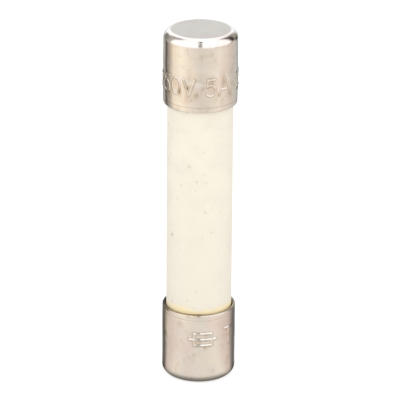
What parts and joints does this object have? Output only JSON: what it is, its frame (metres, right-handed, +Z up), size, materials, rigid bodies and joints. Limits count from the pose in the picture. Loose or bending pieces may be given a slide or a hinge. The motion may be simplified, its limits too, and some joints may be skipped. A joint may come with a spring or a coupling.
{
  "type": "ceramic cartridge fuse",
  "caption": "Ceramic cartridge fuse: a round tube between drawn, plated end caps, with a spring-loaded time-delay element inside.",
  "frame": {"origin": "centre of the lower cap's contact face", "axes": "+Z up along the fuse's axis, +Y away from the viewer"},
  "size_m": [0.0064, 0.0064, 0.0318],
  "materials": {
    "nickel_plated_brass": "satin",
    "fired_ceramic": "matte",
    "cap_cement": "satin",
    "tin_solder": "satin",
    "vulcanised_fibre": "matte",
    "turned_brass": "satin",
    "copper": "satin",
    "glass_fibre_rod": "matte",
    "resistance_wire": "satin",
    "spring_bronze": "satin",
    "low_melting_solder": "satin",
    "quartz_sand": "matte"
  },
  "bodies": {
    "root": {"upper_cap": "nickel_plated_brass", "lower_cap": "nickel_plated_brass", "ceramic_tube": "fired_ceramic", "upper_cement_ring": "cap_cement", "lower_cement_ring": "cap_cement", "upper_solder_pad": "tin_solder", "lower_solder_pad": "tin_solder", "upper_fibre_washer": "vulcanised_fibre", "lower_fibre_washer": "vulcanised_fibre", "fibre_baffle": "vulcanised_fibre", "spring_anchor": "turned_brass", "link_ferrule": "turned_brass", "trigger_spring": "spring_bronze", "thermal_solder": "low_melting_solder", "heat_absorber": "copper", "short_circuit_link": "copper", "heater_core": "glass_fibre_rod", "heater_winding": "resistance_wire", "quartz_sand": "quartz_sand"},
    "trigger": {"trigger_pin": "turned_brass"}
  },
  "joints": [
    {"name": "trigger_slide", "type": "slide", "parent": "root", "child": "trigger", "axis": [0, 0, 1], "range_m": [0, 0.004], "deforming": ["trigger_spring"]}
  ]
}
